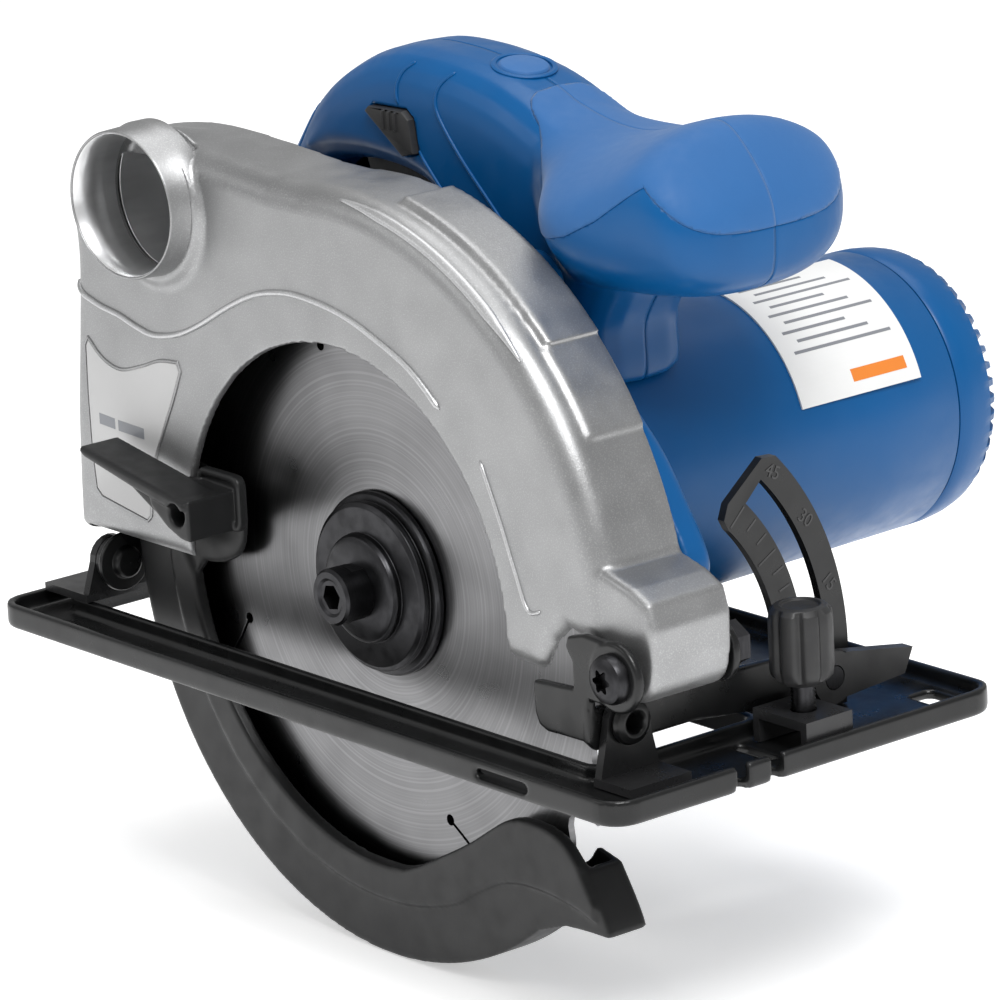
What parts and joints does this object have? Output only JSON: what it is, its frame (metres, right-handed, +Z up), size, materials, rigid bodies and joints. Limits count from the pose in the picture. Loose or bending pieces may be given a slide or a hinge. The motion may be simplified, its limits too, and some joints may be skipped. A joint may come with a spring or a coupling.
{
  "type": "circular saw",
  "caption": "Hand-held circular saw: toothed blade under a cast guard with a swinging lower guard, side motor, two-part handle, tilting and plunging head on a pressed shoe.",
  "frame": {"origin": "on the sole of the shoe (the flat underside), straight across from the blade axis", "axes": "+X is the cutting direction along the shoe, +Y runs from the blade side to the motor side, +Z is up out of the shoe"},
  "size_m": [0.26, 0.2025, 0.234],
  "materials": {
    "black_paint": "semi-gloss black powder coat on pressed steel",
    "black_plastic": "moulded, fine grain",
    "zinc_steel": "bright zinc plate",
    "dark_steel": "blackened steel",
    "cast_aluminium": "die cast, blasted",
    "blue_plastic": "semi-gloss moulded nylon",
    "blue_rubber": "soft-touch overmould",
    "black_rubber": "matte",
    "laminations": "stacked electrical steel",
    "copper": "enamelled copper",
    "brass": "bright",
    "bearing_steel": "ground steel",
    "label": "satin film, plain",
    "blade_steel": "ground radially, satin",
    "dark_guard": "satin dark grey"
  },
  "bodies": {
    "shoe": {"shoe_plate": "black_paint", "bevel_quadrant": "black_paint", "front_pivot_ear": "black_paint", "rear_pivot_ear": "black_paint", "fence_bridge": "black_paint"},
    "fence_screw": {"fence_knob_screw": "black_plastic"},
    "bevel_frame": {"front_yoke": "black_paint", "rear_bracket": "black_paint", "depth_bar": "black_paint", "front_bevel_rivet": "zinc_steel", "rear_bevel_rivet": "dark_steel", "depth_pivot_bolt": "zinc_steel", "depth_pivot_nut": "zinc_steel", "bevel_clamp_bolt": "zinc_steel"},
    "bevel_clamp": {"bevel_lever": "black_plastic"},
    "saw_head": {"upper_guard": "cast_aluminium", "gear_case": "blue_plastic", "motor_housing": "blue_plastic", "motor_end_cap": "blue_plastic", "handle_right_shell": "blue_plastic", "handle_left_shell": "blue_plastic", "front_grip_pad_right": "blue_rubber", "front_grip_pad_left": "blue_rubber", "rear_grip_pad_right": "blue_rubber", "rear_grip_pad_left": "blue_rubber", "handle_cap": "blue_rubber", "switch_body": "black_plastic", "cord_inlet": "black_rubber", "stator_core": "laminations", "field_coil_front": "copper", "field_coil_rear": "copper", "brush_holder_front": "brass", "brush_holder_rear": "brass", "front_bearing": "bearing_steel", "rear_bearing": "bearing_steel", "spindle_bearing": "bearing_steel", "guard_retaining_ring": "zinc_steel", "guard_return_spring": "zinc_steel", "guard_label": "label", "rating_label": "label", "depth_clamp_bolt": "zinc_steel"},
    "depth_clamp": {"depth_lever": "black_plastic"},
    "spindle": {"saw_blade": "blade_steel", "spindle_shaft": "zinc_steel", "inner_flange": "dark_steel", "outer_flange": "dark_steel", "blade_bolt": "dark_steel", "spindle_gear": "bearing_steel"},
    "armature": {"motor_shaft": "bearing_steel", "armature_core": "laminations", "commutator": "copper", "cooling_fan": "black_plastic"},
    "swing_guard": {"lower_guard": "dark_guard", "guard_lever": "dark_guard"},
    "trigger_blade": {"trigger": "black_plastic"},
    "lock_off": {"lock_off_button": "black_plastic"},
    "spindle_lock": {"spindle_lock_button": "black_plastic"}
  },
  "joints": [
    {"name": "fence_screw_turn", "type": "hinge", "parent": "shoe", "child": "fence_screw", "pos_m": [0.1155, -0.0252, 0.02], "axis": [0, 0, 1], "continuous": true},
    {"name": "bevel_tilt", "type": "hinge", "parent": "shoe", "child": "bevel_frame", "pos_m": [0, -0.074, 0.018], "axis": [1, 0, 0], "range_deg": [0, 45]},
    {"name": "bevel_lever_turn", "type": "hinge", "parent": "bevel_frame", "child": "bevel_clamp", "pos_m": [0.104, -0.00617, 0.01326], "axis": [1, 0, 0], "range_deg": [0, 60]},
    {"name": "depth_swing", "type": "hinge", "parent": "bevel_frame", "child": "saw_head", "pos_m": [0.1125, -0.065, 0.033], "axis": [0, 1, 0], "range_deg": [0, 30]},
    {"name": "depth_lever_turn", "type": "hinge", "parent": "saw_head", "child": "depth_clamp", "pos_m": [-0.0524, -0.045, 0.037], "axis": [0, 1, 0], "range_deg": [0, 40]},
    {"name": "blade_spin", "type": "hinge", "parent": "saw_head", "child": "spindle", "pos_m": [0, -0.065, 0.031], "axis": [0, 1, 0], "continuous": true},
    {"name": "armature_spin", "type": "hinge", "parent": "saw_head", "child": "armature", "pos_m": [0.0217, 0, 0.0552], "axis": [0, 1, 0], "continuous": true},
    {"name": "lower_guard_swing", "type": "hinge", "parent": "saw_head", "child": "swing_guard", "pos_m": [0, -0.065, 0.031], "axis": [0, 1, 0], "range_deg": [0, 95], "stiffness_Nm_per_rad": 0.25, "springref_deg": -68.75},
    {"name": "trigger_pull", "type": "hinge", "parent": "saw_head", "child": "trigger_blade", "pos_m": [-0.018, -0.0185, 0.131], "axis": [0, 1, 0], "range_deg": [0, 8], "stiffness_Nm_per_rad": 0.5, "springref_deg": -8.59},
    {"name": "lock_off_press", "type": "slide", "parent": "saw_head", "child": "lock_off", "axis": [0, 1, 0], "range_m": [0, 0.003], "stiffness_N_per_m": 300, "springref_m": -0.002},
    {"name": "spindle_lock_press", "type": "slide", "parent": "saw_head", "child": "spindle_lock", "axis": [0, 0, -1], "range_m": [0, 0.0025], "stiffness_N_per_m": 400, "springref_m": -0.002}
  ],
  "couplings": [
    {"joint": "armature_spin", "follows": "blade_spin", "ratio": -2.7143}
  ]
}
